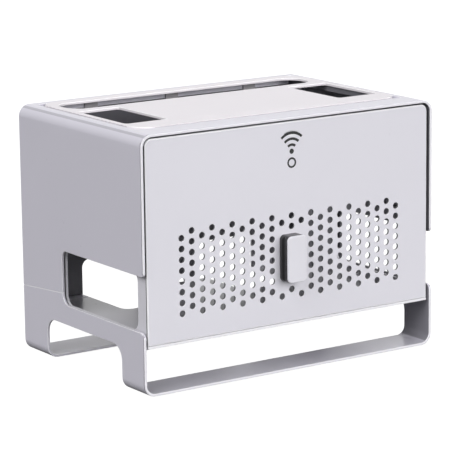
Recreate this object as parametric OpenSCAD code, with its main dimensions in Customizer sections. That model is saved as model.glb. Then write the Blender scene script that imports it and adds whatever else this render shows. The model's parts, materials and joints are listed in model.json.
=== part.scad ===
// Storage box for a router and its cables: a moulded housing on legs with a pull-out drawer.
// X runs to the right, Y runs from the front to the back, Z runs up.
// The origin is on the table under the middle of the box, handle included.

/* [Housing] */
// Width across the side walls
body_w = 320; // [270:1:390]
// Depth from the front rim to the back edge
body_d = 212; // [176:1:256]
// Height from the underside of the rails to the top rim
body_h = 234; // [214:1:282]
// Thickness of the wrap that forms the top, the sides, the legs and the rails
wall = 2.4; // [2:0.1:3]
// Outside radius of the wrap's four corners
corner_r = 11; // [8:0.5:14]
// How far the rubber feet stand out below the rails
foot_proud = 0.8; // [0.4:0.1:1.2]
// Distance from the front rim to the shadow groove round the outside
groove_back = 0.6; // [0.4:0.1:1]
// Width of the shadow groove
groove_w = 1; // [0.6:0.1:1.4]
// Depth of the shadow groove
groove_t = 0.6; // [0.4:0.1:0.8]

/* [Side openings and legs] */
// Height of the lower edge of the side openings above the rails
opening_low = 58; // [52:1:66]
// Height of the upper edge of the side openings above the rails
opening_high = 108.5; // [90:0.5:120]
// Depth of the rear posts, from the side opening to the back edge
rear_post_d = 72.5; // [50:0.5:90]
// Height of the seam between shell and base at the side opening
seam_z = 68.5; // [66:0.5:80]
// Fall of the seam from the side opening to the back edge
seam_fall = 5.5; // [0:0.5:6]
// Height of the lower edge of the side bands above the rails
band_low = 39.5; // [30:0.5:40]
// Depth of the front legs
front_leg_d = 38; // [28:1:50]
// Depth of the rear legs
rear_leg_d = 43; // [30:1:55]
// Radius where a leg meets its side band
leg_fillet = 14; // [8:1:18]

/* [Top deck] */
// Distance from the side walls' outer faces to the deck
deck_side = 15; // [13:0.5:20]
// Distance from the front rim to the deck
deck_front = 28; // [20:1:36]
// Distance from the back edge to the deck
deck_rear = 9; // [8:0.5:14]
// Thickness of the deck plate
deck_t = 2.4; // [2:0.1:3]
// Radius of the deck's corners
deck_corner_r = 20; // [14:0.5:24]
// Radius of the corners of the seat that the deck lies in
seat_corner_r = 2.5; // [2:0.5:6]
// How far the deck stands above the rim
deck_proud = 0.8; // [0.4:0.1:1]
// Width of the two side openings in the deck
deck_open_w = 44; // [34:1:52]
// Distance from the deck's front edge to the side openings
deck_open_front = 29; // [20:1:36]
// Width of the bar between the side openings and the rear slot
deck_bar = 12; // [8:1:24]
// Depth of the rear slot in the deck
slot_d = 38; // [24:1:42]
// Distance from the deck's rear edge to the rear slot
slot_rear = 13; // [11:0.5:18]

/* [Rear panel] */
// Thickness of the rear panel
rear_t = 2.4; // [2:0.1:3]
// Width of each cable window
window_w = 63; // [50:1:76]
// Distance from the side walls' outer faces to the windows
window_side = 62; // [52:1:66]
// Height of the windows' upper edge above the rails
window_high = 79; // [70:1:95]

/* [Drawer] */
// How far the drawer front sits behind the front rim
front_recess = 1.4; // [1:0.1:4]
// Thickness of the drawer front
front_t = 2.4; // [2:0.1:3]
// Height of the drawer front's lower edge above the rails
front_low = 45.3; // [45:0.1:48]
// Thickness of the drawer sides
side_t = 2.4; // [2:0.1:3]
// Height of the drawer sides' upper edge above the rails
side_high = 126; // [122:1:140]
// Depth of the posts between the drawer front and the drawer's side openings
front_post_d = 15.5; // [12:0.5:20]
// Thickness of the drawer floor
floor_t = 2.3; // [2:0.1:3]
// Length of the drawer that stays in the housing when it is pulled out
hold_in = 43.8; // [36:0.2:70]

/* [Grille] */
// Diameter of the vent holes
hole_d = 6; // [4:0.1:6.5]
// Least distance from the drawer front's side edges to the outer columns of holes
grille_side = 35; // [30:1:50]
// Number of holes in a full column
hole_rows = 8; // [6:1:8]
// Distance between columns
column_pitch = 10.78; // [8.5:0.01:11]
// Distance between the holes of a column
row_pitch = 9.73; // [8:0.01:10]
// Rise of every second column
column_rise = 5.6; // [4:0.1:6]
// Height of the lowest holes above the rails
hole_low = 70.2; // [62:0.1:76]

/* [Handle] */
// Width of the handle
handle_w = 21; // [18:0.5:22]
// Height of the handle
handle_h = 43; // [36:1:44]
// How far the handle stands out of the drawer front
handle_reach = 13.2; // [10:0.1:18]
// Distance from the drawer's middle to the handle's middle, to the left
handle_offset = 2.8; // [0:0.1:4]
// Height of the handle's lower end above the rails
handle_low = 84.6; // [80:0.1:90]
// Thickness of the pale cap on the handle's front
cap_t = 1.8; // [1.4:0.1:3]

/* [Signal mark] */
// Distance from the top rim down to the mark's dot
mark_down = 31.4; // [28:0.2:50]
// Width of the mark's strokes
mark_stroke = 2.4; // [1.6:0.1:3]

/* [Clearances] */
// Gap between the drawer front and the side walls
side_gap = 2.4; // [1.6:0.1:2.8]
// Gap between the drawer front and the top
top_gap = 1.6; // [0.8:0.1:2]
// Gap between the drawer floor's guide strips and the side walls
guide_gap = 0.6; // [0.4:0.1:1]
// Gap between the drawer and what it slides on
slide_gap = 0.3; // [0.3:0.05:0.5]
// Gap round the top deck
deck_gap = 0.5; // [0.3:0.1:0.8]
// Gap round pieces that are dropped in place
fit_gap = 0.2; // [0.15:0.05:0.3]

/* [Hidden] */
$fn = 64;

side_grey = [0.70, 0.69, 0.73];
front_grey = [0.85, 0.84, 0.88];
deck_grey = [0.89, 0.87, 0.89];
dark_grey = [0.25, 0.25, 0.27];
steel = [0.75, 0.75, 0.76];

// Places that several pieces share
eps = 0.01;
handle_out = handle_reach - front_recess;      // what the handle adds to the depth
front_y = -(body_d - handle_out) / 2;          // front rim
back_y = front_y + body_d;                     // back edge
rail_z = foot_proud;                           // underside of the rails
half_w = body_w / 2;
inner_x = half_w - wall;                       // inner face of a side wall
top_z = rail_z + body_h;                       // top rim
seam_back_z = seam_z - seam_fall;              // height of the seam at the back edge, above the rails
opening_back = back_y - rear_post_d;           // rear edge of the side openings

// Rear panel, shelf and drawer end
rear_recess = 2;                               // rear panel behind the back edge
rear_out_y = back_y - rear_recess;
rear_in_y = rear_out_y - rear_t;
boss_l = 9;                                    // length of the rear panel's screw bosses
shelf_front_y = rear_in_y - boss_l - 1.6;
bumper_t = 1.5;
drawer_end_y = shelf_front_y - bumper_t - slide_gap;
panel_y = front_y + front_recess;              // front face of the drawer front
panel_in_y = panel_y + front_t;                // back face of the drawer front

// Drawer cross-section
drawer_x = inner_x - side_gap;                 // outer face of the drawer sides
floor_top_z = rail_z + front_low;
floor_low_z = floor_top_z - floor_t;
shelf_t = 2.4;
runner_t = 2;
runner_top_z = floor_low_z - slide_gap;
ledge_w = 9;
ledge_low_z = rail_z + band_low;
ledge_top_z = runner_top_z - runner_t;
runner_front_y = front_y + 12;
runner_rear_y = shelf_front_y - 1;
runner_l = runner_rear_y - runner_front_y;

// Screws
pilot_r = 1.2;                                 // hole that the thread bites in
pass_r = 1.7;                                  // hole that the shank passes through
head_r = 2.9;
head_t = 1.8;
boss_r = 3.6;

// Stops: a lug under each rear corner of the floor meets a block near the front
lug_w = 8;
lug_l = 7;
lug_drop = 3;
lug_x = drawer_x - 20;                         // middle of a lug
lug_front_y = drawer_end_y - 2 - lug_l;
travel = drawer_end_y - panel_y - hold_in;
stop_l = 8;
stop_front_y = lug_front_y - travel - slide_gap - stop_l;
stop_plate_w = lug_x + lug_w / 2 - (inner_x - ledge_w);

// A rectangle with round corners
module rounded(x0, y0, x1, y1, r) {
    translate([x0 + r, y0]) square([x1 - x0 - 2 * r, y1 - y0]);
    translate([x0, y0 + r]) square([x1 - x0, y1 - y0 - 2 * r]);
    for (x = [x0 + r, x1 - r], y = [y0 + r, y1 - r])
        translate([x, y]) circle(r);
}

// The material that a concave corner of radius r keeps; sx and sy point into the opening
module fillet(x, y, r, sx, sy) {
    difference() {
        translate([min(x, x + sx * r) - (sx > 0 ? eps : 0), min(y, y + sy * r) - (sy > 0 ? eps : 0)])
            square(r + eps);
        translate([x + sx * r, y + sy * r]) circle(r);
    }
}

// A shape drawn in X and Z, from y0 to y1
module along_y(y0, y1) {
    translate([0, y1, 0]) rotate([90, 0, 0]) linear_extrude(y1 - y0) children();
}

// A shape drawn in Y and Z, from x0 to x1
module along_x(x0, x1) {
    translate([x0, 0, 0]) rotate([90, 0, 90]) linear_extrude(x1 - x0) children();
}

// A shape drawn in X and Y, from z0 to z1
module along_z(z0, z1) {
    translate([0, 0, z0]) linear_extrude(z1 - z0) children();
}

module both_sides() {
    children();
    mirror([1, 0, 0]) children();
}

// A round bar along "y" or "z", from its start towards the plus end
module bar(dir, r, l) {
    rotate(dir == "y" ? [-90, 0, 0] : [0, 0, 0]) cylinder(r = r, h = l);
}

// A pan head screw whose head's underside is at the start; its shank points along "-y" or "z"
module screw(dir, l) {
    rotate(dir == "-y" ? [90, 0, 0] : [0, 0, 0]) {
        cylinder(r = pilot_r, h = l);
        difference() {
            translate([0, 0, -head_t]) cylinder(r = head_r, h = head_t);
            translate([0, 0, -head_t - eps]) for (a = [0, 90])
                rotate(a) translate([-1.6, -0.4, 0]) cube([3.2, 0.8, 1]);
        }
    }
}

// The closed wrap in X and Z
module wrap_ring() {
    difference() {
        rounded(-half_w, rail_z, half_w, top_z, corner_r);
        rounded(-inner_x, rail_z + wall, inner_x, top_z - wall, corner_r - wall);
    }
}

// The wrap along its whole depth, with a shadow groove round the outside behind the front rim
module wrap() {
    groove_y = front_y + groove_back;
    difference() {
        along_y(front_y, back_y) wrap_ring();
        along_y(groove_y, groove_y + groove_w) difference() {
            rounded(-half_w - 1, rail_z - 1, half_w + 1, top_z + 1, corner_r + 1);
            rounded(-half_w + groove_t, rail_z + groove_t, half_w - groove_t, top_z - groove_t,
                    corner_r - groove_t);
        }
    }
}

// Side view of what belongs to the shell
module shell_side_view() {
    low = rail_z + opening_high;
    edge_r = 4;
    difference() {
        translate([front_y, low]) square([body_d, top_z - low + 1]);
        difference() {
            translate([front_y - eps, low - eps]) square(edge_r + eps);
            translate([front_y + edge_r, low + edge_r]) circle(edge_r);
        }
    }
    polygon([[opening_back, low + eps], [opening_back, rail_z + seam_z],
             [back_y, rail_z + seam_back_z], [back_y, low + eps]]);
    fillet(opening_back, low, 7, -1, -1);
}

// Side view of what belongs to the base
module base_side_view() {
    high = rail_z + opening_low;
    edge_r = 6;
    difference() {
        union() {
            translate([front_y, rail_z - 1]) square([body_d, opening_low + 1]);
            polygon([[opening_back, high - eps], [opening_back, rail_z + seam_z],
                     [back_y, rail_z + seam_back_z], [back_y, high - eps]]);
            fillet(opening_back, high, seam_z - opening_low, -1, 1);
        }
        difference() {
            translate([front_y - eps, high - edge_r]) square(edge_r + eps);
            translate([front_y + edge_r, high - edge_r]) circle(edge_r);
        }
        rounded(front_y + front_leg_d, rail_z - 30, back_y - rear_leg_d, ledge_low_z, leg_fillet);
    }
}

// Deck outline, grown by g, with its corners rounded at r
module deck_outline(g, r) {
    rounded(-half_w + deck_side - g, front_y + deck_front - g,
            half_w - deck_side + g, back_y - deck_rear + g, r);
}

deck_ledge = 4;                                // width of the ledge that carries the deck
deck_low_z = top_z + deck_proud - deck_t;
rim_rib = 2;                                   // rib that stiffens the top opening
rib_drop = 5;

// Screw places of the rear panel: x, height above the rails
rear_boss_x = inner_x - boss_r + 0.6;
rear_boss_z = [rail_z + side_high + 14, top_z - wall - boss_r - 6];

// Vertical screws at the rear corners
corner_boss_x = inner_x - 0.3 - boss_r;
lip_t = 2.4;                                   // lip between the rear shelf and the ledge
corner_boss_y = shelf_front_y + lip_t + head_r + slide_gap;
corner_split_z = rail_z + front_low + 12;
corner_boss_top = corner_split_z + 24;

module upper_shell() {
    color(side_grey) {
        difference() {
            intersection() {
                wrap();
                along_x(-half_w - 1, half_w + 1) shell_side_view();
            }
            along_z(deck_low_z - fit_gap, top_z + 1) deck_outline(deck_gap, seat_corner_r);
            along_z(top_z - wall - 1, top_z + 1) deck_outline(-deck_ledge, 4);
        }
        // rib round the top opening
        along_z(top_z - wall - rib_drop, top_z - wall + eps) difference() {
            deck_outline(rim_rib - deck_ledge, 4 + rim_rib);
            deck_outline(-deck_ledge, 4);
        }
        both_sides() {
            // guide rib that keeps the drawer sides down
            translate([drawer_x - side_t - 2, front_y + 14, rail_z + side_high + slide_gap])
                cube([inner_x - drawer_x + side_t + 2 + eps, shelf_front_y - front_y - 18, 2.4]);
            // bosses for the rear panel
            for (z = rear_boss_z) difference() {
                translate([rear_boss_x, rear_in_y - boss_l, z]) bar("y", boss_r, boss_l);
                translate([rear_boss_x, rear_in_y - boss_l - 1, z]) bar("y", pilot_r, boss_l + 2);
            }
            // boss for the corner screw, held to the wall by a web above the seam
            difference() {
                union() {
                    translate([corner_boss_x, corner_boss_y, corner_split_z])
                        bar("z", boss_r, corner_boss_top - corner_split_z);
                    translate([corner_boss_x, corner_boss_y - 1, rail_z + seam_z + 1])
                        cube([inner_x - corner_boss_x + eps, 2,
                              corner_boss_top - rail_z - seam_z - 1]);
                }
                translate([corner_boss_x, corner_boss_y, corner_split_z - 1]) bar("z", pilot_r, 13);
            }
        }
    }
}

// The outline that both cable windows share, in X and the second axis of the drawing
module windows(low, high, r) {
    for (s = [-1, 1]) {
        x0 = s > 0 ? half_w - window_side - window_w : -half_w + window_side;
        rounded(x0, low, x0 + window_w, high, r);
    }
}

module lower_base() {
    color(side_grey) difference() {
        union() {
            intersection() {
                wrap();
                along_x(-half_w - 1, half_w + 1) base_side_view();
            }
            // ledges under the runners
            both_sides() translate([inner_x - ledge_w, runner_front_y, ledge_low_z])
                cube([ledge_w + eps, shelf_front_y - runner_front_y + eps, ledge_top_z - ledge_low_z]);
            // rear shelves beside the cable windows, each with a lip down to the ledge
            both_sides() translate([half_w - window_side, shelf_front_y, floor_top_z - shelf_t])
                cube([window_side - wall + eps, rear_out_y - shelf_front_y, shelf_t]);
            both_sides() translate([inner_x - ledge_w, shelf_front_y, ledge_low_z])
                cube([ledge_w + eps, lip_t, floor_top_z - ledge_low_z]);
            // corner bosses
            both_sides() translate([corner_boss_x, corner_boss_y, floor_top_z - shelf_t])
                bar("z", boss_r, corner_split_z - floor_top_z + shelf_t - eps);
            // plates that the drawer stops stand on
            both_sides() translate([inner_x - ledge_w - stop_plate_w, stop_front_y - 2, ledge_low_z])
                cube([stop_plate_w + eps, stop_l + 4, ledge_top_z - ledge_low_z]);
        }
        both_sides() {
            translate([corner_boss_x, corner_boss_y, floor_top_z - shelf_t - 1]) bar("z", pass_r, 40);
            for (y = runner_screw_y)
                translate([runner_x, y, ledge_low_z - 1]) bar("z", pilot_r, 6);
            for (x = foot_x, y = foot_y)
                translate([x, y, rail_z - 1]) bar("z", foot_r + fit_gap / 2, 1 + foot_sunk);
        }
        for (x = [-shelf_screw_x, shelf_screw_x])
            translate([x, shelf_screw_y, floor_top_z - shelf_t - 1]) bar("z", pass_r, 6);
    }
}

foot_r = 6;
foot_sunk = 1;
foot_x = [half_w - corner_r - 12];
foot_y = [front_y + front_leg_d / 2, back_y - rear_leg_d / 2];
runner_x = inner_x - ledge_w / 2;
runner_screw_y = [for (i = [0 : 2]) runner_front_y + 10 + i * (runner_l - 20) / 2];
shelf_screw_x = half_w - window_side / 2 - 6;
shelf_screw_y = rear_in_y - 1;

module rear_panel() {
    low = floor_top_z;
    high = top_z - wall - fit_gap;
    foot_tab = 7;                              // thickened foot that the shelf screws bite in
    color(side_grey) difference() {
        union() {
            along_y(rear_in_y, rear_out_y) difference() {
                rounded(-inner_x + fit_gap, low - corner_r, inner_x - fit_gap, high, corner_r - wall);
                translate([-half_w, low - 2 * corner_r]) square([body_w, 2 * corner_r]);
            }
            // bosses over the shelf screws
            for (x = [-shelf_screw_x, shelf_screw_x])
                translate([x, shelf_screw_y, low]) bar("z", 3, foot_tab);
        }
        along_y(rear_in_y - 10, rear_out_y + 10) windows(low - 20, rail_z + window_high, 8);
        for (s = [-1, 1], z = rear_boss_z)
            translate([s * rear_boss_x, rear_in_y - 1, z]) bar("y", pass_r, rear_t + 2);
        for (x = [-shelf_screw_x, shelf_screw_x])
            translate([x, shelf_screw_y, low - 1]) bar("z", pilot_r, foot_tab);
    }
}

module top_deck() {
    open_front = front_y + deck_front + deck_open_front;
    open_x = half_w - deck_side - 6 - deck_open_w;
    slot_back = back_y - deck_rear - slot_rear;
    slot_front = slot_back - slot_d;
    slot_x = half_w - deck_side - 9;
    open_r = 3;
    slot_r = min(16, slot_d / 2 - 1);
    tab_w = 14;
    tab_x = half_w - deck_side - 55;
    tab_drop = deck_low_z - (top_z - wall - rib_drop) + 1.2;
    color(deck_grey) {
        along_z(deck_low_z, top_z + deck_proud) difference() {
            deck_outline(0, deck_corner_r);
            for (s = [-1, 1]) {
                x0 = s > 0 ? open_x : -open_x - deck_open_w;
                rounded(x0, open_front, x0 + deck_open_w, slot_front - deck_bar, open_r);
            }
            rounded(-slot_x, slot_front, slot_x, slot_back, slot_r);
        }
        // snap tabs that hook under the rib round the top opening
        for (s = [-1, 1], x = [-tab_x, 0, tab_x])
            translate([x - tab_w / 2, s > 0 ? back_y - deck_rear - deck_ledge - fit_gap - 1.6
                                            : front_y + deck_front + deck_ledge + fit_gap,
                       deck_low_z - tab_drop]) {
                cube([tab_w, 1.6, tab_drop + eps]);
                translate([0, s > 0 ? 1.6 - eps : -0.9 + eps, 0]) cube([tab_w, 0.9, 0.9]);
            }
    }
}

module runner() {
    color(dark_grey) difference() {
        translate([inner_x - ledge_w, runner_front_y, ledge_top_z])
            cube([ledge_w - fit_gap, runner_l, runner_t]);
        for (y = runner_screw_y) {
            translate([runner_x, y, ledge_top_z - 1]) bar("z", pass_r, runner_t + 2);
            translate([runner_x, y, ledge_top_z + 0.7]) bar("z", head_r - 0.2, runner_t);
        }
    }
}

module runner_left() mirror([1, 0, 0]) runner();
module runner_right() runner();

module drawer_stops() {
    color(dark_grey) both_sides()
        translate([lug_x - lug_w / 2, stop_front_y, ledge_top_z])
            difference() {
                cube([lug_w, stop_l, runner_t - 0.2]);
                translate([lug_w / 2, stop_l / 2, -1]) bar("z", pass_r, 5);
            }
}

module stop_bumpers() {
    color(dark_grey) both_sides()
        translate([drawer_x - side_t / 2 - 2.4, shelf_front_y - bumper_t, floor_top_z - floor_t / 2])
            intersection() {
                bar("y", 4, bumper_t);
                translate([-4, -1, -floor_t / 2]) cube([8, bumper_t + 2, floor_t]);
            }
}

module foot_pads() {
    color(dark_grey) both_sides() for (x = foot_x, y = foot_y)
        translate([x, y, 0]) bar("z", foot_r, foot_proud + foot_sunk);
}

module shell_screws() {
    color(steel) both_sides()
        translate([corner_boss_x, corner_boss_y, floor_top_z - shelf_t])
            screw("z", corner_split_z - floor_top_z + shelf_t + 10);
}

module rear_panel_screws() {
    color(steel) {
        for (s = [-1, 1], z = rear_boss_z)
            translate([s * rear_boss_x, rear_out_y, z]) screw("-y", rear_t + 7);
        for (x = [-shelf_screw_x, shelf_screw_x])
            translate([x, shelf_screw_y, floor_top_z - shelf_t]) screw("z", shelf_t + 5);
    }
}

module runner_screws() {
    color(steel) both_sides() for (y = runner_screw_y)
        translate([runner_x, y, ledge_low_z + 0.2]) {
            bar("z", pilot_r, ledge_top_z + 0.7 - ledge_low_z);
            translate([0, 0, ledge_top_z + 0.7 - ledge_low_z - 0.2]) bar("z", head_r - 0.3, 1);
        }
}

// Vent holes: true where the handle's foot takes a hole's place
grille_mid = floor((drawer_x - grille_side) / column_pitch);
hole_columns = 2 * grille_mid + 1;
function hole_x(c) = (c - grille_mid) * column_pitch;
function hole_z(c, r) = rail_z + hole_low + r * row_pitch + (c % 2 == 1 ? column_rise : 0);
handle_low_z = rail_z + handle_low;
function under_handle(c, r) =
    abs(c - grille_mid) <= 1 && hole_z(c, r) > handle_low_z - 5
    && hole_z(c, r) < handle_low_z + handle_h + (c == grille_mid ? 5 : 6.5);

module grille() {
    for (c = [0 : hole_columns - 1], r = [0 : hole_rows - 1])
        if (!under_handle(c, r))
            translate([hole_x(c), hole_z(c, r)]) circle(d = hole_d);
}

// Signal mark: arcs over a dot, with a ring below
mark_z = top_z - mark_down;
mark_x = 0.6;
mark_depth = 0.5;
mark_spread = 42;
module signal_mark_plan() {
    translate([mark_x, mark_z]) {
        circle(r = mark_stroke);
        intersection() {
            for (r = [7.2, 12.6, 18]) difference() {
                circle(r = r);
                circle(r = r - mark_stroke);
            }
            polygon([[0, 0], 24 * [-sin(mark_spread), cos(mark_spread)], [0, 30],
                     24 * [sin(mark_spread), cos(mark_spread)]]);
        }
        translate([0, -10.4]) difference() {
            circle(r = 4.9);
            circle(r = 4.9 - mark_stroke + 0.6);
        }
    }
}

// Bosses behind the drawer front, x and z
front_boss_x = drawer_x - side_t - 6;
front_boss_z = [floor_top_z + 7, rail_z + side_high - 8];
front_boss_l = 5;
tab_t = 2.4;

module drawer_front() {
    high = top_z - wall - top_gap;
    color(front_grey) difference() {
        union() {
            along_y(panel_y, panel_in_y) difference() {
                rounded(-drawer_x, floor_top_z - corner_r, drawer_x, high, corner_r - wall - top_gap);
                translate([-half_w, floor_top_z - 2 * corner_r]) square([body_w, 2 * corner_r]);
                grille();
            }
            for (s = [-1, 1], z = front_boss_z)
                translate([s * front_boss_x, panel_in_y - eps, z]) bar("y", 3.4, front_boss_l);
        }
        for (s = [-1, 1], z = front_boss_z)
            translate([s * front_boss_x, panel_in_y, z]) bar("y", pilot_r, front_boss_l + 1);
        for (s = [-1, 1])
            translate([handle_mid_x, panel_y - 1, handle_mid_z + s * handle_h / 4])
                bar("y", pass_r, front_t + 2);
        along_y(panel_y - 1, panel_y + mark_depth) signal_mark_plan();
    }
}

module drawer_side() {
    cut_back = opening_back + 1.5;
    cut_low = rail_z + opening_low - 1;
    cut_high = rail_z + opening_high + 1.5;
    color(front_grey) {
        along_x(drawer_x - side_t, drawer_x) difference() {
            translate([panel_in_y, floor_top_z])
                square([drawer_end_y - panel_in_y, rail_z + side_high - floor_top_z]);
            rounded(panel_in_y + front_post_d - front_t, cut_low, cut_back, cut_high, 9);
        }
        for (z = front_boss_z) difference() {
            translate([front_boss_x - 4.5, panel_in_y + front_boss_l - eps, z - 5])
                cube([drawer_x - side_t - front_boss_x + 4.5 + eps, tab_t, 10]);
            translate([front_boss_x, panel_in_y + front_boss_l - 1, z]) bar("y", pass_r, tab_t + 2);
        }
        for (y = floor_screw_y) difference() {
            translate([drawer_x - side_t - 6, y - 4, floor_top_z])
                cube([6 + eps, 8, 6]);
            translate([floor_screw_x, y, floor_top_z - 1]) bar("z", pilot_r, 6);
        }
    }
}

floor_screw_x = drawer_x - side_t - 3;
floor_screw_y = [for (i = [0 : 2]) panel_in_y + 22 + i * (drawer_end_y - panel_in_y - 34) / 2];

module drawer_side_left() mirror([1, 0, 0]) drawer_side();
module drawer_side_right() drawer_side();

module drawer_floor() {
    notch_front = front_y + 131;
    guide_x = inner_x - guide_gap;
    guide_front_y = panel_in_y + 8;
    color(front_grey) difference() {
        union() {
            along_z(floor_low_z, floor_top_z) difference() {
                union() {
                    translate([-drawer_x, panel_y]) square([2 * drawer_x, drawer_end_y - panel_y]);
                    // guide strips that run along the side walls
                    translate([-guide_x, guide_front_y])
                        square([2 * guide_x, drawer_end_y - guide_front_y]);
                }
                windows(notch_front, back_y + 20, 9);
            }
            // stop lugs
            both_sides() translate([lug_x - lug_w / 2, lug_front_y, floor_low_z - lug_drop])
                cube([lug_w, lug_l, lug_drop + eps]);
        }
        both_sides() for (y = floor_screw_y) {
            translate([floor_screw_x, y, floor_low_z - 1]) bar("z", pass_r, floor_t + 2);
            translate([floor_screw_x, y, floor_low_z - 1]) bar("z", head_r + 0.1, 2.1);
        }
    }
}

handle_mid_x = -handle_offset;
handle_mid_z = handle_low_z + handle_h / 2;
cap_y = panel_y - handle_reach + cap_t;        // where the cap meets the handle's core
peg_r = 1.5;
peg_l = 4;
peg_rise = handle_h / 2 - 5.5;                 // from the handle's middle to a peg

// The outline that the handle's core and its cap share
module handle_plan() {
    rounded(handle_mid_x - handle_w / 2, handle_low_z,
            handle_mid_x + handle_w / 2, handle_low_z + handle_h, 4.5);
}

module pull_handle() {
    groove_r = 2.4;
    color(dark_grey) difference() {
        along_y(cap_y, panel_y) handle_plan();
        // finger grooves down both sides
        for (s = [-1, 1])
            translate([handle_mid_x + s * (handle_w / 2 + 0.4), (cap_y + panel_y) / 2, handle_low_z - 1])
                bar("z", groove_r, handle_h + 2);
        for (s = [-1, 1]) {
            translate([handle_mid_x, panel_y - 9, handle_mid_z + s * handle_h / 4])
                bar("y", pilot_r, 10);
            translate([handle_mid_x, cap_y - 1, handle_mid_z + s * peg_rise])
                bar("y", peg_r, peg_l + 1.3);
        }
    }
}

module handle_cap() {
    color(front_grey) {
        along_y(panel_y - handle_reach, cap_y) handle_plan();
        for (s = [-1, 1])
            translate([handle_mid_x, cap_y - eps, handle_mid_z + s * peg_rise])
                bar("y", peg_r, peg_l);
    }
}

module handle_screws() {
    color(steel) for (s = [-1, 1])
        translate([handle_mid_x, panel_in_y, handle_mid_z + s * handle_h / 4])
            screw("-y", front_t + 7);
}

module front_screws() {
    color(steel) for (s = [-1, 1], z = front_boss_z)
        translate([s * front_boss_x, panel_in_y + front_boss_l + tab_t, z])
            screw("-y", tab_t + 4);
}

module floor_screws() {
    color(steel) both_sides() for (y = floor_screw_y)
        translate([floor_screw_x, y, floor_low_z + 0.1]) {
            bar("z", head_r - 0.2, 1);
            bar("z", pilot_r, floor_t + 4);
        }
}

module signal_mark() {
    color(dark_grey) along_y(panel_y, panel_y + mark_depth) signal_mark_plan();
}

upper_shell();
lower_base();
rear_panel();
top_deck();
runner_left();
runner_right();
drawer_stops();
stop_bumpers();
foot_pads();
shell_screws();
rear_panel_screws();
runner_screws();
drawer_front();
drawer_side_left();
drawer_side_right();
drawer_floor();
pull_handle();
handle_cap();
handle_screws();
front_screws();
floor_screws();
signal_mark();
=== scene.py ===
"""Finished looks of a router and cable storage box: moulded plastic, screws, rubber and a studio."""

import json
import math

import bmesh
import bpy
from bpy.props import FloatProperty, FloatVectorProperty, IntProperty, PointerProperty
from mathutils import Matrix, Vector

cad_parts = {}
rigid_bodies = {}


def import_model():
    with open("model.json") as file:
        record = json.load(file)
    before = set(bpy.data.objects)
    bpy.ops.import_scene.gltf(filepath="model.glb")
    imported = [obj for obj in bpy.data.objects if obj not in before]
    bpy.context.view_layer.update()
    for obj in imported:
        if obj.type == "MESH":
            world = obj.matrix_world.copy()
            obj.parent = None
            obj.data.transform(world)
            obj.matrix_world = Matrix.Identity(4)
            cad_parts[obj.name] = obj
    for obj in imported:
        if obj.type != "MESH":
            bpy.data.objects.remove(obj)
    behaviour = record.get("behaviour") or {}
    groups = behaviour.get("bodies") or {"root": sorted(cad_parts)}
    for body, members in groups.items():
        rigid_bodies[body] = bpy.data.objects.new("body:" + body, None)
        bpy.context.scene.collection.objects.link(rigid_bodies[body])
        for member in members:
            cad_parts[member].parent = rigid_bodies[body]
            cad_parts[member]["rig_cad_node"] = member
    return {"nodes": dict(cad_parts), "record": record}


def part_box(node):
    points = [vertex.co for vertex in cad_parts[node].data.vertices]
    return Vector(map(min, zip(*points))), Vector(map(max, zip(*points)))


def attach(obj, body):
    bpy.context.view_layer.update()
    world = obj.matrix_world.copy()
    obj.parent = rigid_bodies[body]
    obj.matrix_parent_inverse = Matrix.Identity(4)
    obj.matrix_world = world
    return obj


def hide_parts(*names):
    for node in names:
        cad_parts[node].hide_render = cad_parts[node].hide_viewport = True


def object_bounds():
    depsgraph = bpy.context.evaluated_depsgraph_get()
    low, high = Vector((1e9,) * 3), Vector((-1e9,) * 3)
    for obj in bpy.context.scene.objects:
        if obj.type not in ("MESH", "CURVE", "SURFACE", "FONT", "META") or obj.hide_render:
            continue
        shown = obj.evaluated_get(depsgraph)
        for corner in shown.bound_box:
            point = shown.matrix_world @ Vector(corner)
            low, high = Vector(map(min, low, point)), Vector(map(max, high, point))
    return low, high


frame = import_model()
CAD_LOW, CAD_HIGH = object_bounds()
CAD_HOUSING_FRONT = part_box("upper_shell")[0].y

bl_info = {
    "name": "Router and Cable Storage Box",
    "version": (1, 0, 0),
    "blender": (4, 5, 0),
    "location": "View3D > Sidebar > Storage Box",
    "description": "Builds the finished pieces of a storage box for a router and its cables",
    "category": "Object",
}

MM = 0.001
FEW_DEGREES = math.radians(0.6)
SHARP = math.radians(32)
SMOOTH = math.radians(35)
# Mask that paints a highlight on rounded edges
PAINTED_HIGHLIGHT_MASK = "painted_edge_highlight"
# Mask that paints shade on faces inside the box, in gaps and under things
PAINTED_SHADE_MASK = "painted_inside_shade"
TOUCH = 0.1 * MM  # how near a place is to a face that it lies on
FACING = 0.5  # part of a normal along the way that its face looks
FULLY_INSIDE = 1.0  # painted shade on faces that look into the box
HOLE_WALLS = 0.9  # painted shade on the walls of the vent holes
ROUNDED = 0.6  # painted highlight on rounded edges
FRONT_RIM = 0.45  # painted highlight on the front rim
CREVICE = 0.75  # painted shade in the shadow groove
DECK_SEAT = 0.4  # painted shade on the ledge that the deck sits on
DECK_SEAM = 0.35  # painted shade in the gap round the deck
DECK_UNDER = 0.7  # painted shade under the deck and on its snap tabs
RAIL_TOP = 0.2  # painted shade on the rails' upper faces, under the box
BASE_INSIDE = 0.7  # painted shade on the inner faces of the legs and bands
SIDE_INSIDE = 0.3  # painted shade on the inner faces of the drawer's sides
FLOOR_TOP = 0.25  # painted shade on the drawer's floor

BODY_OF = {node: body for body, nodes in frame["record"]["behaviour"]["bodies"].items() for node in nodes}
COLOUR_OF = {finish["slot"]: tuple(finish["base_color"]) for finish in frame["record"]["materials"]}


def colour(name, description, slot):
    """A colour a user can change; it starts from the part's own slot."""
    return FloatVectorProperty(
        name=name, description=description, subtype="COLOR", size=3, min=0, max=1, default=COLOUR_OF[slot]
    )


def length(name, description, value):
    """A small length a user can change, in metres."""
    return FloatProperty(name=name, description=description, unit="LENGTH", min=0, default=value, precision=5)


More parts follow.
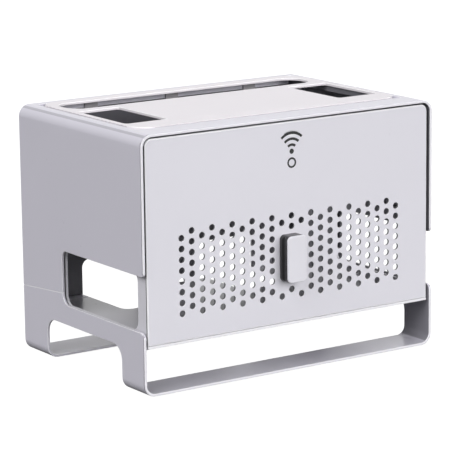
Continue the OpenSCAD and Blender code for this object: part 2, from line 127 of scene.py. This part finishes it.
class StorageBoxFinish(bpy.types.PropertyGroup):
    """Colours and surface of the plastics, the steel and the rubber."""

    shell: colour("Shell", "Colour of the housing", "shell_plastic")
    deck: colour("Deck", "Colour of the top deck", "deck_plastic")
    front: colour("Drawer", "Colour of the drawer and the handle's cap", "front_plastic")
    grip: colour("Grip", "Colour of the handle's core", "grip_plastic")
    runner: colour("Runners", "Colour of the runners and the stops", "runner_plastic")
    rubber: colour("Rubber", "Colour of the feet and the bumpers", "soft_rubber")
    steel: colour("Screws", "Colour of the screws", "screw_steel")
    ink: colour("Mark", "Colour of the signal mark", "mark_ink")
    plastic_roughness: FloatProperty(
        name="Plastic Roughness", description="Roughness of the satin plastic", min=0, max=1, default=0.28
    )
    grain_size: length("Grain", "Size of the moulded grain", 0.45 * MM)


class StorageBoxEdges(bpy.types.PropertyGroup):
    """How far the pieces' edges are rounded."""

    shell: length("Shell Edges", "Rounding of the housing's edges", 0.45 * MM)
    groove: length("Groove Edges", "Rounding of the shadow groove's lips", 0.12 * MM)
    deck: length("Deck Edges", "Rounding of the top deck's edges", 0.7 * MM)
    front_rim: length("Front Rim", "Rounding of the drawer front's outline", 1.3 * MM)
    drawer: length("Drawer Edges", "Rounding of the drawer's other edges", 0.35 * MM)
    hole: length("Hole Edges", "Rounding of the vent holes' edges", 0.25 * MM)
    cap: length("Handle Cap Edges", "Rounding of the handle cap's front", 0.9 * MM)
    small: length("Small Edges", "Rounding of screws, runners and other small pieces", 0.18 * MM)
    segments: IntProperty(
        name="Edge Segments", description="Steps in each rounded edge", min=1, max=6, default=3
    )


class StorageBoxStudio(bpy.types.PropertyGroup):
    """Lights, floor and camera."""

    sky: FloatProperty(name="Sky", description="Brightness of the surrounding light", min=0, default=0.18)
    backdrop: FloatProperty(
        name="Backdrop", description="How much brighter it is behind the box", min=0, default=0.9
    )
    key: FloatProperty(
        name="Key Light", description="Strength of the key light on the right", min=0, default=2.85
    )
    fill: FloatProperty(
        name="Fill Light", description="Strength of the fill light on the left", min=0, default=2.15
    )
    softness: FloatProperty(
        name="Softness", description="Angle that each light covers", subtype="ANGLE", default=0.9
    )
    floor: FloatProperty(
        name="Floor", description="Brightness of the floor by itself", min=0, max=1, default=1.0
    )
    lens: FloatProperty(
        name="Lens", description="Focal length of the camera", unit="CAMERA", default=201.55
    )


# Working on meshes


def deselect_all():
    if bpy.context.object and bpy.context.object.mode != "OBJECT":
        bpy.ops.object.mode_set(mode="OBJECT")
    bpy.ops.object.select_all(action="DESELECT")


def pick(piece):
    """Makes the piece the only selected and the active object."""
    deselect_all()
    piece.select_set(True)
    bpy.context.view_layer.objects.active = piece


def copy_of(node, name):
    """A copy of a CAD node whose loose triangles are one clean mesh."""
    pick(frame["nodes"][node])
    bpy.ops.object.duplicate()
    piece = bpy.context.object
    piece.name = piece.data.name = name
    del piece["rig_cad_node"]
    piece.data.materials.clear()
    bpy.ops.object.mode_set(mode="EDIT")
    bpy.ops.mesh.customdata_custom_splitnormals_clear()
    bpy.ops.mesh.select_all(action="SELECT")
    bpy.ops.mesh.remove_doubles(threshold=0.002 * MM)
    bpy.ops.mesh.dissolve_limited(angle_limit=FEW_DEGREES)
    bpy.ops.object.mode_set(mode="OBJECT")
    return piece


def mark_faces(piece, name, value, where):
    """Raises a mask to a value on the faces that where() picks."""
    mask = piece.data.attributes.get(name) or piece.data.attributes.new(name, "FLOAT", "FACE")
    for face, marked in zip(piece.data.polygons, mask.data):
        if where(face):
            marked.value = max(marked.value, value)


def round_edges(piece, width, segments, where=None, edge_highlight=ROUNDED):
    """Rounds the piece's sharp outer edges, or those whose middle is where it says, and marks them for a
    painted highlight.
    """
    pick(piece)
    bpy.ops.object.mode_set(mode="EDIT")
    bpy.ops.mesh.select_mode(type="EDGE")
    bpy.ops.mesh.select_all(action="DESELECT")
    shape = bmesh.from_edit_mesh(piece.data)
    for edge in shape.edges:
        sharp = len(edge.link_faces) == 2 and edge.calc_face_angle() > SHARP and edge.is_convex
        if sharp and (where is None or where((edge.verts[0].co + edge.verts[1].co) / 2)):
            edge.select_set(True)
    bmesh.update_edit_mesh(piece.data)
    bpy.ops.mesh.bevel(
        offset=width, segments=segments, profile=0.5, affect="EDGES", clamp_overlap=False, loop_slide=False
    )
    bpy.ops.object.mode_set(mode="OBJECT")
    mark_faces(piece, PAINTED_HIGHLIGHT_MASK, edge_highlight, lambda face: face.select)


def smooth(piece):
    """Smooth rounded edges beside flat faces that stay flat."""
    pick(piece)
    bpy.ops.object.shade_smooth_by_angle(angle=SMOOTH)
    bpy.ops.object.modifier_add(type="WEIGHTED_NORMAL")
    piece.modifiers[-1].keep_sharp = True
    bpy.ops.object.modifier_apply(modifier=piece.modifiers[-1].name)


def hand_over(piece, node, material):
    """Gives the piece its material and puts it in the CAD node's place."""
    piece.data.materials.append(material)
    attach(piece, BODY_OF[node])
    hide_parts(node)


def finished(node, material, width, where=None):
    """The whole way from a CAD node to a finished piece with edges rounded to one width."""
    piece = copy_of(node, node + "_finished")
    round_edges(piece, width, edges().segments, where)
    smooth(piece)
    hand_over(piece, node, material)
    return piece


def finish():
    return bpy.context.scene.storage_box_finish


def edges():
    return bpy.context.scene.storage_box_edges


def studio():
    return bpy.context.scene.storage_box_studio


# Materials


def add_node(tree, kind, **values):
    """A shader node whose inputs and settings are given by name."""
    node = tree.nodes.new(kind)
    for key, value in values.items():
        if key in node.inputs:
            node.inputs[key].default_value = value
        else:
            setattr(node, key, value)
    return node


def socket(group, name, direction, kind, value=None):
    made = group.interface.new_socket(name=name, in_out=direction, socket_type="NodeSocket" + kind)
    if value is not None:
        made.default_value = value


def surface_group():
    """Moulded surface: fine grain, slow drifts of tone and gloss, a painted highlight on rounded edges and
    painted shade on faces inside the box, in gaps and under things.
    """
    group = bpy.data.node_groups.get("Moulded surface")
    if group:
        return group
    group = bpy.data.node_groups.new("Moulded surface", "ShaderNodeTree")
    socket(group, "Vector", "INPUT", "Vector")
    socket(group, "Edge", "INPUT", "Float", 0.0)
    socket(group, "Colour", "INPUT", "Color", (0.8, 0.8, 0.8, 1))
    socket(group, "Roughness", "INPUT", "Float", 0.4)
    socket(group, "Grain Scale", "INPUT", "Float", 2000.0)
    socket(group, "Tone Drift", "INPUT", "Float", 0.05)
    socket(group, "Gloss Drift", "INPUT", "Float", 0.025)
    socket(group, "Painted Edge Highlight", "INPUT", "Float", 0.2)
    socket(group, "Inside", "INPUT", "Float", 0.0)
    socket(group, "Inside Shade", "INPUT", "Float", 0.8)
    socket(group, "Colour", "OUTPUT", "Color")
    socket(group, "Roughness", "OUTPUT", "Float")
    socket(group, "Height", "OUTPUT", "Float")
    link = group.links.new
    given = group.nodes.new("NodeGroupInput").outputs
    result = group.nodes.new("NodeGroupOutput").inputs

    drift = add_node(group, "ShaderNodeTexNoise", Scale=9.0, Detail=3.0, Roughness=0.55)
    cloud = add_node(group, "ShaderNodeTexNoise", Scale=70.0, Detail=4.0, Roughness=0.6)
    grain = add_node(group, "ShaderNodeTexNoise", Detail=2.0, Roughness=0.5)
    for texture in (drift, cloud, grain):
        link(given["Vector"], texture.inputs["Vector"])
    link(given["Grain Scale"], grain.inputs["Scale"])

    centred = add_node(group, "ShaderNodeMath", operation="SUBTRACT")
    centred.inputs[1].default_value = 0.5
    link(drift.outputs["Fac"], centred.inputs[0])
    toned = add_node(group, "ShaderNodeMath", operation="MULTIPLY")
    link(centred.outputs[0], toned.inputs[0])
    link(given["Tone Drift"], toned.inputs[1])
    value = add_node(group, "ShaderNodeMath", operation="ADD")
    value.inputs[1].default_value = 1.0
    link(toned.outputs[0], value.inputs[0])
    shade = add_node(group, "ShaderNodeHueSaturation")
    link(given["Colour"], shade.inputs["Color"])
    link(value.outputs[0], shade.inputs["Value"])

    # Painted highlight: rounded edges are mixed towards white.
    highlight_amount = add_node(group, "ShaderNodeMath", operation="MULTIPLY")
    link(given["Edge"], highlight_amount.inputs[0])
    link(given["Painted Edge Highlight"], highlight_amount.inputs[1])
    paler = add_node(group, "ShaderNodeMix", data_type="RGBA")
    paler.inputs[7].default_value = (1, 1, 1, 1)
    link(highlight_amount.outputs[0], paler.inputs[0])
    link(shade.outputs["Color"], paler.inputs[6])

    # Painted shade: marked faces inside the box, in gaps and under things are mixed towards near-black.
    depth = add_node(group, "ShaderNodeMath", operation="MULTIPLY", use_clamp=True)
    link(given["Inside"], depth.inputs[0])
    link(given["Inside Shade"], depth.inputs[1])
    darker = add_node(group, "ShaderNodeMix", data_type="RGBA")
    darker.inputs[7].default_value = (0.03, 0.03, 0.035, 1)
    link(depth.outputs[0], darker.inputs[0])
    link(paler.outputs[2], darker.inputs[6])
    link(darker.outputs[2], result["Colour"])

    rub = add_node(group, "ShaderNodeMath", operation="SUBTRACT")
    rub.inputs[1].default_value = 0.5
    link(cloud.outputs["Fac"], rub.inputs[0])
    spread = add_node(group, "ShaderNodeMath", operation="MULTIPLY")
    link(rub.outputs[0], spread.inputs[0])
    link(given["Gloss Drift"], spread.inputs[1])
    rough = add_node(group, "ShaderNodeMath", operation="ADD", use_clamp=True)
    link(given["Roughness"], rough.inputs[0])
    link(spread.outputs[0], rough.inputs[1])
    link(rough.outputs[0], result["Roughness"])
    link(grain.outputs["Fac"], result["Height"])
    return group


def moulded(name, base, roughness, bump=0.10, painted_highlight=0.2, grain=1.0, drift=0.05, metallic=0.0, coat=0.0):
    """A moulded material: its own colour, roughness and grain on the shared surface group, with a painted
    highlight on rounded edges and painted shade where faces are marked.
    """
    material = bpy.data.materials.get(name)
    if material:
        return material
    material = bpy.data.materials.new(name)
    material.use_nodes = True
    tree = material.node_tree
    shader = tree.nodes["Principled BSDF"]
    place = add_node(tree, "ShaderNodeTexCoord")
    edge = add_node(tree, "ShaderNodeAttribute", attribute_name=PAINTED_HIGHLIGHT_MASK)
    inside = add_node(tree, "ShaderNodeAttribute", attribute_name=PAINTED_SHADE_MASK)
    surface = add_node(tree, "ShaderNodeGroup", node_tree=surface_group())
    surface.inputs["Colour"].default_value = (*base, 1)
    surface.inputs["Roughness"].default_value = roughness
    surface.inputs["Grain Scale"].default_value = grain / finish().grain_size
    surface.inputs["Tone Drift"].default_value = drift
    surface.inputs["Painted Edge Highlight"].default_value = painted_highlight
    relief = add_node(tree, "ShaderNodeBump", Strength=bump, Distance=0.1 * MM)
    link = tree.links.new
    link(place.outputs["Object"], surface.inputs["Vector"])
    link(edge.outputs["Fac"], surface.inputs["Edge"])
    link(inside.outputs["Fac"], surface.inputs["Inside"])
    link(surface.outputs["Colour"], shader.inputs["Base Color"])
    link(surface.outputs["Roughness"], shader.inputs["Roughness"])
    link(surface.outputs["Height"], relief.inputs["Height"])
    link(relief.outputs["Normal"], shader.inputs["Normal"])
    shader.inputs["Metallic"].default_value = metallic
    shader.inputs["Coat Weight"].default_value = coat
    shader.inputs["Coat Roughness"].default_value = 0.2
    material.diffuse_color = (*base, 1)
    return material


def shell_plastic():
    return moulded("Housing plastic", finish().shell, finish().plastic_roughness, painted_highlight=0.8)


def deck_plastic():
    return moulded("Deck plastic", finish().deck, finish().plastic_roughness + 0.1, painted_highlight=0.8)


def front_plastic():
    return moulded("Drawer plastic", finish().front, finish().plastic_roughness, painted_highlight=0.7)


def grip_plastic():
    # The dark grip colour is partly the core's own colour and partly painted shade for the handle's sides.
    return moulded("Grip plastic", finish().grip, 0.3, bump=0.05, painted_highlight=0.03)


def runner_plastic():
    return moulded("Runner plastic", finish().runner, 0.42, bump=0.08, painted_highlight=0.05)


def soft_rubber():
    return moulded("Soft rubber", finish().rubber, 0.82, bump=0.35, painted_highlight=0.08, grain=0.7)


def zinc_steel():
    return moulded("Zinc steel", finish().steel, 0.3, bump=0.12, painted_highlight=0.15, grain=2.0, metallic=1.0)


def mark_ink():
    return moulded("Mark ink", finish().ink, 0.6, bump=0.08, painted_highlight=0.0)


# Pieces


class PieceOperator(bpy.types.Operator):
    """Builds a piece of the storage box"""

    bl_options = {"REGISTER", "UNDO"}

    def execute(self, context):
        self.build()
        return {"FINISHED"}


class STORAGEBOX_OT_shell(PieceOperator):
    """Housing: the upper shell, the base with its legs and rails, and the rear panel"""

    bl_idname = "storage_box.shell"
    bl_label = "Housing"

    def build(self):
        front = CAD_HOUSING_FRONT
        groove_end = front + 2 * MM
        rail_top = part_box("lower_base")[0].z + 4 * MM
        inner = CAD_HIGH - Vector((1, 1, 1)) * MM
        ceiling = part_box("upper_shell")[1].z - 2 * MM
        seat = ceiling + MM
        top_frame = 12 * MM
        leaning = 0.3
        outside = CAD_HIGH.x - 0.3 * MM
        middle_z = (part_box("upper_shell")[1].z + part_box("lower_base")[0].z) / 2
        outside_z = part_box("upper_shell")[1].z - middle_z - 0.3 * MM

        def in_groove(face):
            """The groove's floor and walls lie a little under the wrap's outside, just behind the rim."""
            place = face.center
            behind = front + 0.5 * MM < place.y < groove_end
            sunk_side = outside - MM < abs(place.x) < outside
            sunk_top = abs(place.z - middle_z) < outside_z and abs(place.z - middle_z) > outside_z - MM
            return behind and (sunk_side or sunk_top)

        def faces_inwards(face):
            if face.center.y < front + edges().shell or face.center.z < rail_top:
                return False
            sideways = face.normal.x * face.center.x < 0 and abs(face.normal.x) > leaning
            downwards = face.normal.z < -leaning and face.center.z > ceiling - top_frame
            return (sideways or downwards) and abs(face.center.x) < inner.x and face.center.z < ceiling

        def beside_groove(middle):
            return middle.y < front + TOUCH or middle.y > groove_end

        def on_rim(face):
            return face.center.y < front + edges().shell

        def on_seat(face):
            return face.normal.z > FACING and ceiling - MM < face.center.z < seat

        def on_rail(face):
            return face.center.z < rail_top and face.normal.z > FACING

        for node in ("upper_shell", "lower_base"):
            piece = copy_of(node, node + "_finished")
            round_edges(piece, edges().shell, edges().segments, beside_groove)
            round_edges(piece, edges().groove, 2, edge_highlight=0)
            # Painted highlight on the front rim; painted shade in the groove, on the deck's ledge, on the
            # rails' tops and on faces looking into the box.
            mark_faces(piece, PAINTED_HIGHLIGHT_MASK, FRONT_RIM, on_rim)
            mark_faces(piece, PAINTED_SHADE_MASK, CREVICE, in_groove)
            mark_faces(piece, PAINTED_SHADE_MASK, DECK_SEAT, on_seat)
            mark_faces(piece, PAINTED_SHADE_MASK, RAIL_TOP, on_rail)
            depth = FULLY_INSIDE if node == "upper_shell" else BASE_INSIDE
            mark_faces(piece, PAINTED_SHADE_MASK, depth, faces_inwards)
            smooth(piece)
            hand_over(piece, node, shell_plastic())
        piece = copy_of("rear_panel", "rear_panel_finished")
        round_edges(piece, edges().shell, edges().segments)
        # Painted shade on the rear panel's face that looks into the box.
        mark_faces(piece, PAINTED_SHADE_MASK, FULLY_INSIDE, lambda face: face.normal.y < -FACING)
        smooth(piece)
        hand_over(piece, "rear_panel", shell_plastic())


class STORAGEBOX_OT_deck(PieceOperator):
    """Top deck with its cable openings"""

    bl_idname = "storage_box.deck"
    bl_label = "Top Deck"

    def build(self):
        low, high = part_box("top_deck")
        outline = 0.3 * MM
        corner = 6 * MM
        thickness = 3 * MM
        upright = 0.1

        def on_top(middle):
            return middle.z > high.z - TOUCH

        def near_outline(place):
            """Within the rounded corners' band along the deck's outline, clear of its openings."""
            gap_x = high.x - abs(place.x)
            gap_y = min(high.y - place.y, place.y - low.y)
            return min(gap_x, gap_y) < outline or max(gap_x, gap_y) < corner

        def on_outline(middle):
            return on_top(middle) and near_outline(middle)

        def on_opening(middle):
            return on_top(middle) and not near_outline(middle)

        def on_seam(face):
            return abs(face.normal.z) < upright and near_outline(face.center)

        def underneath(face):
            return face.normal.z < -FACING or face.center.z < high.z - thickness

        piece = copy_of("top_deck", "top_deck_finished")
        round_edges(piece, edges().drawer, 2, on_outline, edge_highlight=0)
        round_edges(piece, edges().deck, edges().segments, on_opening)
        round_edges(piece, edges().small, 2, edge_highlight=0)
        # Painted shade in the gap round the deck and underneath it.
        mark_faces(piece, PAINTED_SHADE_MASK, DECK_SEAM, on_seam)
        mark_faces(piece, PAINTED_SHADE_MASK, DECK_UNDER, underneath)
        smooth(piece)
        hand_over(piece, "top_deck", deck_plastic())


class STORAGEBOX_OT_drawer_front(PieceOperator):
    """Perforated drawer front with a well rounded outline"""

    bl_idname = "storage_box.drawer_front"
    bl_label = "Drawer Front"

    def build(self):
        low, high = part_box("drawer_front")
        rim = 12 * MM
        mark_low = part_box("signal_mark")[0].z - MM

        straight = 0.9
        sideways = 0.2

        def in_shade(face):
            """On the plate's back and its narrow faces at the ends and along the top."""
            end = abs(face.normal.x) > straight and abs(face.center.x) > high.x - TOUCH
            top = face.normal.z > straight and face.center.z > high.z - TOUCH
            return face.normal.y > FACING or end or top

        def on_hole_wall(face):
            return abs(face.normal.y) < sideways and face.center.z < mark_low

        def off_mark(middle):
            return middle.z < mark_low or middle.y > low.y + MM

        def on_outline(middle):
            outside = abs(middle.x) > high.x - rim or middle.z > high.z - rim or middle.z < low.z + rim
            return middle.y < low.y + TOUCH and outside

        piece = copy_of("drawer_front", "drawer_front_finished")
        round_edges(piece, edges().front_rim, edges().segments + 1, on_outline)
        round_edges(piece, edges().hole, 2, off_mark)
        # Painted shade on the plate's back, its ends and top, and on the vent holes' walls.
        mark_faces(piece, PAINTED_SHADE_MASK, FULLY_INSIDE, in_shade)
        mark_faces(piece, PAINTED_SHADE_MASK, HOLE_WALLS, on_hole_wall)
        smooth(piece)
        hand_over(piece, "drawer_front", front_plastic())


class STORAGEBOX_OT_drawer_body(PieceOperator):
    """Sides and floor of the drawer"""

    bl_idname = "storage_box.drawer_body"
    bl_label = "Drawer Sides and Floor"

    def build(self):
        def faces_inwards(face):
            return face.normal.x * face.center.x < 0 and abs(face.normal.x) > FACING

        for node in ("drawer_side_left", "drawer_side_right", "drawer_floor"):
            piece = copy_of(node, node + "_finished")
            round_edges(piece, edges().drawer, edges().segments)
            # Painted shade on the floor's top and on the sides' inner faces.
            if node == "drawer_floor":
                mark_faces(piece, PAINTED_SHADE_MASK, FLOOR_TOP, lambda face: face.normal.z > FACING)
            else:
                mark_faces(piece, PAINTED_SHADE_MASK, SIDE_INSIDE, faces_inwards)
            smooth(piece)
            hand_over(piece, node, front_plastic())


class STORAGEBOX_OT_handle(PieceOperator):
    """Handle: a dark core with finger grooves and a pale cap"""

    bl_idname = "storage_box.handle"
    bl_label = "Handle"

    def build(self):
        finished("pull_handle", grip_plastic(), edges().drawer)
        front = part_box("handle_cap")[0].y

        def on_front(middle):
            return middle.y < front + TOUCH

        piece = copy_of("handle_cap", "handle_cap_finished")
        round_edges(piece, edges().cap, edges().segments + 1, on_front, edge_highlight=0.1)
        round_edges(piece, edges().small, 2, edge_highlight=0)
        smooth(piece)
        hand_over(piece, "handle_cap", front_plastic())


class STORAGEBOX_OT_signal_mark(PieceOperator):
    """Signal mark set into the drawer front"""

    bl_idname = "storage_box.signal_mark"
    bl_label = "Signal Mark"

    def build(self):
        finished("signal_mark", mark_ink(), edges().small / 2)


class STORAGEBOX_OT_runners(PieceOperator):
    """Runners that the drawer slides on, and its stops"""

    bl_idname = "storage_box.runners"
    bl_label = "Runners and Stops"

    def build(self):
        for node in ("runner_left", "runner_right", "drawer_stops"):
            finished(node, runner_plastic(), edges().small)


class STORAGEBOX_OT_rubber(PieceOperator):
    """Rubber feet and the drawer's bumpers"""

    bl_idname = "storage_box.rubber"
    bl_label = "Feet and Bumpers"

    def build(self):
        for node in ("foot_pads", "stop_bumpers"):
            finished(node, soft_rubber(), edges().small)


class STORAGEBOX_OT_screws(PieceOperator):
    """All screws"""

    bl_idname = "storage_box.screws"
    bl_label = "Screws"

    def build(self):
        housing_screws = ("shell_screws", "rear_panel_screws", "runner_screws")
        drawer_screws = ("handle_screws", "front_screws", "floor_screws")
        for node in housing_screws + drawer_screws:
            finished(node, zinc_steel(), edges().small)


# Studio


def studio_floor():
    """A pale floor that runs past the horizon."""
    bpy.ops.mesh.primitive_plane_add(size=120, location=(0, 0, 0))
    floor = bpy.context.object
    floor.name = "studio_floor"
    material = bpy.data.materials.new("Studio floor")
    material.use_nodes = True
    tree = material.node_tree
    link = tree.links.new
    paint = tree.nodes["Principled BSDF"]
    paint.inputs["Base Color"].default_value = (0.08, 0.08, 0.08, 1)
    paint.inputs["Roughness"].default_value = 0.9
    glow = add_node(tree, "ShaderNodeEmission")
    both = add_node(tree, "ShaderNodeAddShader")
    seen = add_node(tree, "ShaderNodeLightPath")
    lit = add_node(tree, "ShaderNodeMath", operation="MULTIPLY")
    lit.inputs[1].default_value = studio().floor
    link(seen.outputs["Is Camera Ray"], lit.inputs[0])
    link(lit.outputs[0], glow.inputs["Strength"])
    link(paint.outputs[0], both.inputs[0])
    link(glow.outputs[0], both.inputs[1])
    link(both.outputs[0], tree.nodes["Material Output"].inputs["Surface"])
    floor.data.materials.append(material)


def studio_sky():
    """Weak light from all round and a bright backdrop behind the box; the eye sees plain white."""
    world = bpy.data.worlds.new("Studio sky")
    bpy.context.scene.world = world
    world.use_nodes = True
    tree = world.node_tree
    link = tree.links.new
    place = add_node(tree, "ShaderNodeTexCoord")
    behind = add_node(tree, "ShaderNodeVectorMath", operation="DOT_PRODUCT")
    behind.inputs[1].default_value = Vector((0.5, 0.85, 0.1)).normalized()
    forward = add_node(tree, "ShaderNodeMath", operation="MAXIMUM")
    forward.inputs[1].default_value = 0
    narrow = add_node(tree, "ShaderNodeMath", operation="POWER")
    narrow.inputs[1].default_value = 2
    strength = add_node(tree, "ShaderNodeMath", operation="MULTIPLY_ADD")
    strength.inputs[1].default_value = studio().backdrop
    strength.inputs[2].default_value = studio().sky
    seen = add_node(tree, "ShaderNodeLightPath")
    choose = add_node(tree, "ShaderNodeMath", operation="MAXIMUM")
    link(place.outputs["Generated"], behind.inputs[0])
    link(behind.outputs["Value"], forward.inputs[0])
    link(forward.outputs[0], narrow.inputs[0])
    link(narrow.outputs[0], strength.inputs[0])
    link(strength.outputs[0], choose.inputs[0])
    link(seen.outputs["Is Camera Ray"], choose.inputs[1])
    link(choose.outputs[0], tree.nodes["Background"].inputs["Strength"])
    tree.nodes["Background"].inputs["Color"].default_value = (1, 1, 1, 1)


def studio_light(name, place, strength):
    """A large soft light that shines from a place in metres towards the box."""
    bpy.ops.object.light_add(type="SUN", location=place)
    light = bpy.context.object
    light.name = name
    light.data.energy = strength
    light.data.angle = studio().softness
    light.rotation_mode = "QUATERNION"
    light.rotation_quaternion = light.location.to_track_quat("Z", "Y")


def studio_camera():
    """The camera in front of the box on its left, a little above the deck."""
    azimuth, elevation, roll = math.radians(33.95), math.radians(11.93), math.radians(-0.70)
    distance = 2.2298
    low, high = CAD_LOW, CAD_HIGH
    target = Vector((high.x - 0.2334, low.y + 0.0118, high.z - 0.0901))
    ahead = Vector((
        math.sin(azimuth) * math.cos(elevation),
        math.cos(azimuth) * math.cos(elevation),
        -math.sin(elevation),
    ))
    right = Vector((math.cos(azimuth), -math.sin(azimuth), 0))
    up = right.cross(ahead)
    side = math.cos(roll) * right + math.sin(roll) * up
    over = math.cos(roll) * up - math.sin(roll) * right
    bpy.ops.object.camera_add(location=target - ahead * distance)
    camera = bpy.context.object
    camera.name = "camera"
    camera.data.lens = studio().lens
    camera.data.sensor_width = 36
    camera.rotation_mode = "QUATERNION"
    camera.rotation_quaternion = Matrix((side, over, -ahead)).transposed().to_quaternion()
    bpy.context.scene.camera = camera


class STORAGEBOX_OT_stage(PieceOperator):
    """Pale floor, soft studio light and camera"""

    bl_idname = "storage_box.stage"
    bl_label = "Studio"

    def build(self):
        deselect_all()
        studio_floor()
        studio_sky()
        studio_light("key_light", (0.35, -1.85, 0.55), studio().key)
        studio_light("fill_light", (-1.5, -0.3, 1.2), studio().fill)
        studio_camera()
        bpy.context.scene.view_settings.view_transform = "Standard"


PIECES = (
    STORAGEBOX_OT_shell,
    STORAGEBOX_OT_deck,
    STORAGEBOX_OT_drawer_front,
    STORAGEBOX_OT_drawer_body,
    STORAGEBOX_OT_handle,
    STORAGEBOX_OT_signal_mark,
    STORAGEBOX_OT_runners,
    STORAGEBOX_OT_rubber,
    STORAGEBOX_OT_screws,
    STORAGEBOX_OT_stage,
)


class STORAGEBOX_PT_panel(bpy.types.Panel):
    """Lists the storage box's pieces and settings"""

    bl_label = "Storage Box"
    bl_space_type = "VIEW_3D"
    bl_region_type = "UI"
    bl_category = "Storage Box"

    def draw(self, context):
        for settings in (finish(), edges(), studio()):
            box = self.layout.box()
            for name in settings.bl_rna.properties.keys():
                if name not in ("rna_type", "name"):
                    box.prop(settings, name)
        for piece in PIECES:
            self.layout.operator(piece.bl_idname)


CLASSES = (StorageBoxFinish, StorageBoxEdges, StorageBoxStudio, *PIECES, STORAGEBOX_PT_panel)


def register():
    for item in CLASSES:
        bpy.utils.register_class(item)
    bpy.types.Scene.storage_box_finish = PointerProperty(type=StorageBoxFinish)
    bpy.types.Scene.storage_box_edges = PointerProperty(type=StorageBoxEdges)
    bpy.types.Scene.storage_box_studio = PointerProperty(type=StorageBoxStudio)


def unregister():
    del bpy.types.Scene.storage_box_finish
    del bpy.types.Scene.storage_box_edges
    del bpy.types.Scene.storage_box_studio
    for item in reversed(CLASSES):
        bpy.utils.unregister_class(item)


def main():
    register()
    for piece in PIECES:
        group, name = piece.bl_idname.split(".")
        getattr(getattr(bpy.ops, group), name)()


if __name__ == "__main__":
    main()
